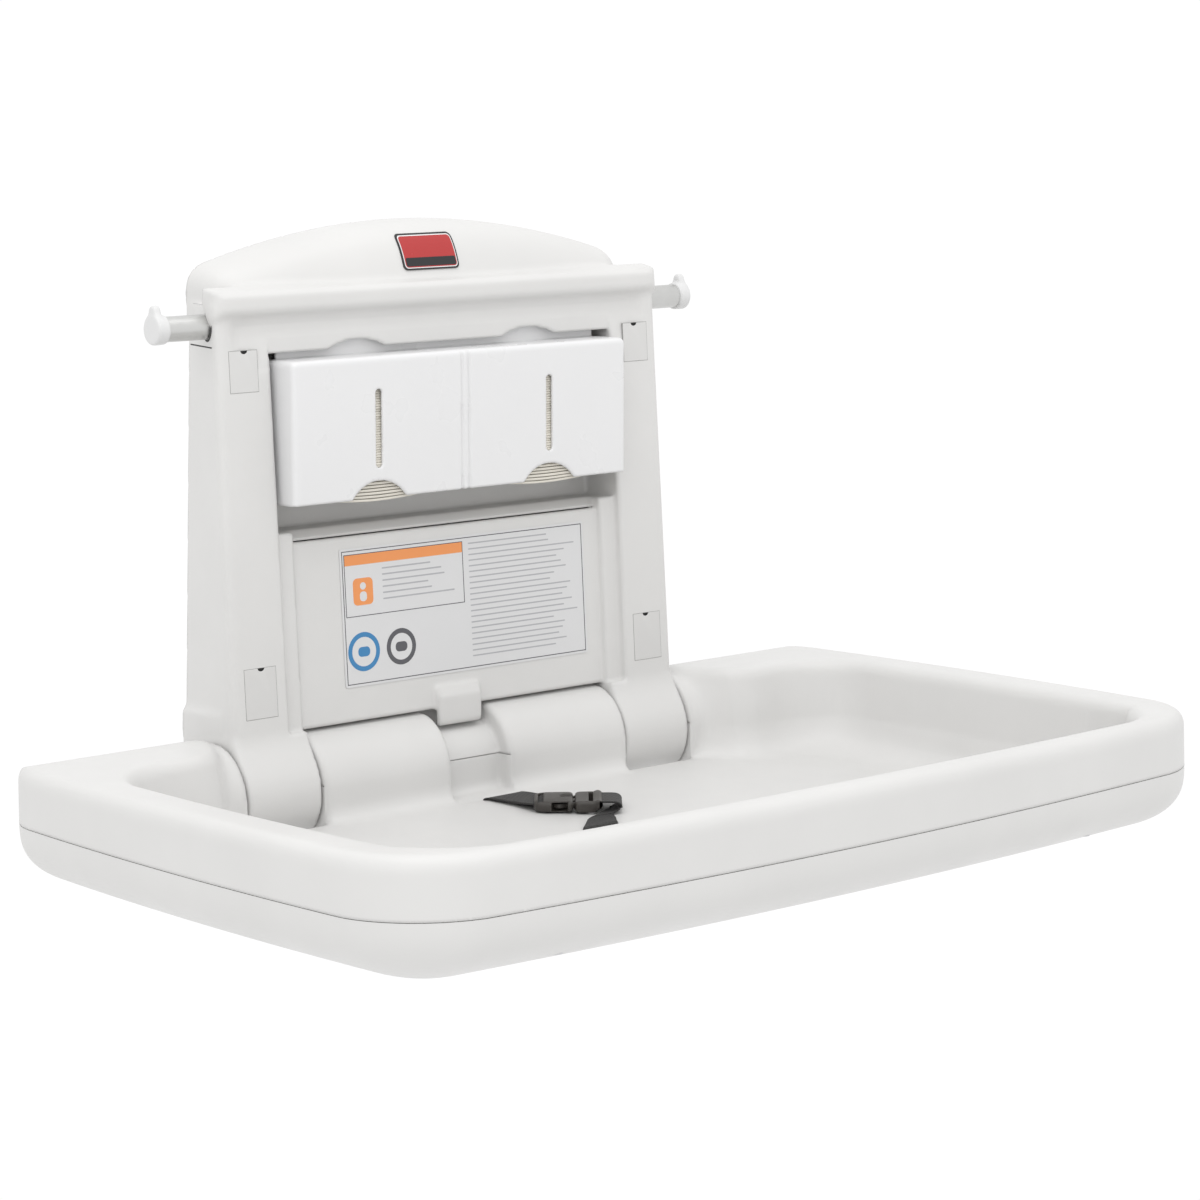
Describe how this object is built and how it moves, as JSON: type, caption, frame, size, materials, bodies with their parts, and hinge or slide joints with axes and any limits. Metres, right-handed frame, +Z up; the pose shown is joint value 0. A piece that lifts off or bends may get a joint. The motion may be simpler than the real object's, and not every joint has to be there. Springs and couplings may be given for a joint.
{
  "type": "changing table",
  "caption": "Wall-mounted fold-down changing station, bed open, with a moulded basin, safety strap, liner dispenser and a tube with hooked ends.",
  "frame": {"origin": "centre of the four wall screws, on the wall face", "axes": "+X along the wall to the right as seen by the user, +Y into the wall, +Z up"},
  "size_m": [0.845, 0.5525, 0.5005],
  "materials": {
    "zinc_steel": "zinc plated, satin",
    "bright_steel": "turned, satin",
    "bearing_plastic": "natural, satin",
    "damper_body": "black, satin",
    "shell_plastic": "off-white, satin with a fine grain",
    "dispenser_plastic": "white, semi-gloss",
    "liner_paper": "cream, soft folded paper",
    "plate_face": "white printed plate, satin",
    "emblem_face": "enamel, satin",
    "tube_metal": "satin, drawn along the length",
    "cap_plastic": "light grey-white, satin",
    "webbing": "woven, matt",
    "buckle_plastic": "moulded, satin"
  },
  "bodies": {
    "wall_unit": {"wall_plate_left": "zinc_steel", "wall_plate_right": "zinc_steel", "cross_bars": "zinc_steel", "frame_bolts": "bright_steel", "tube_saddles": "zinc_steel", "stop_studs": "bright_steel", "hinge_bushes": "bearing_plastic", "damper_left": "damper_body", "damper_right": "damper_body", "unit_cover": "shell_plastic", "dispenser_housing": "dispenser_plastic", "liners_left": "liner_paper", "liners_right": "liner_paper", "information_plate": "plate_face", "emblem_plate": "emblem_face", "screw_cover_top_left": "shell_plastic", "screw_cover_top_right": "shell_plastic", "screw_cover_low_left": "shell_plastic", "screw_cover_low_right": "shell_plastic", "hook_tube": "tube_metal", "hook_cap_left": "cap_plastic", "hook_cap_right": "cap_plastic"},
    "bed": {"hinge_pin_left": "bright_steel", "hinge_pin_right": "bright_steel", "pin_clips": "bright_steel", "damper_rotor_left": "bearing_plastic", "damper_rotor_right": "bearing_plastic", "bed_upper_shell": "shell_plastic", "bed_lower_shell": "shell_plastic", "bed_bracket_left": "zinc_steel", "bed_bracket_right": "zinc_steel", "bed_brace": "zinc_steel", "shell_screws": "bright_steel", "strap_rear": "webbing", "strap_foot": "webbing", "strap_anchors": "bright_steel", "buckle_socket": "buckle_plastic"},
    "buckle_half": {"buckle_plug": "buckle_plastic", "strap_front": "webbing"}
  },
  "joints": [
    {"name": "bed_fold", "type": "hinge", "parent": "wall_unit", "child": "bed", "pos_m": [0, -0.051, -0.21], "axis": [-1, 0, 0], "range_deg": [0, 90]},
    {"name": "buckle_release", "type": "slide", "parent": "bed", "child": "buckle_half", "axis": [0.766, -0.6428, 0], "range_m": [0, 0.022]}
  ]
}
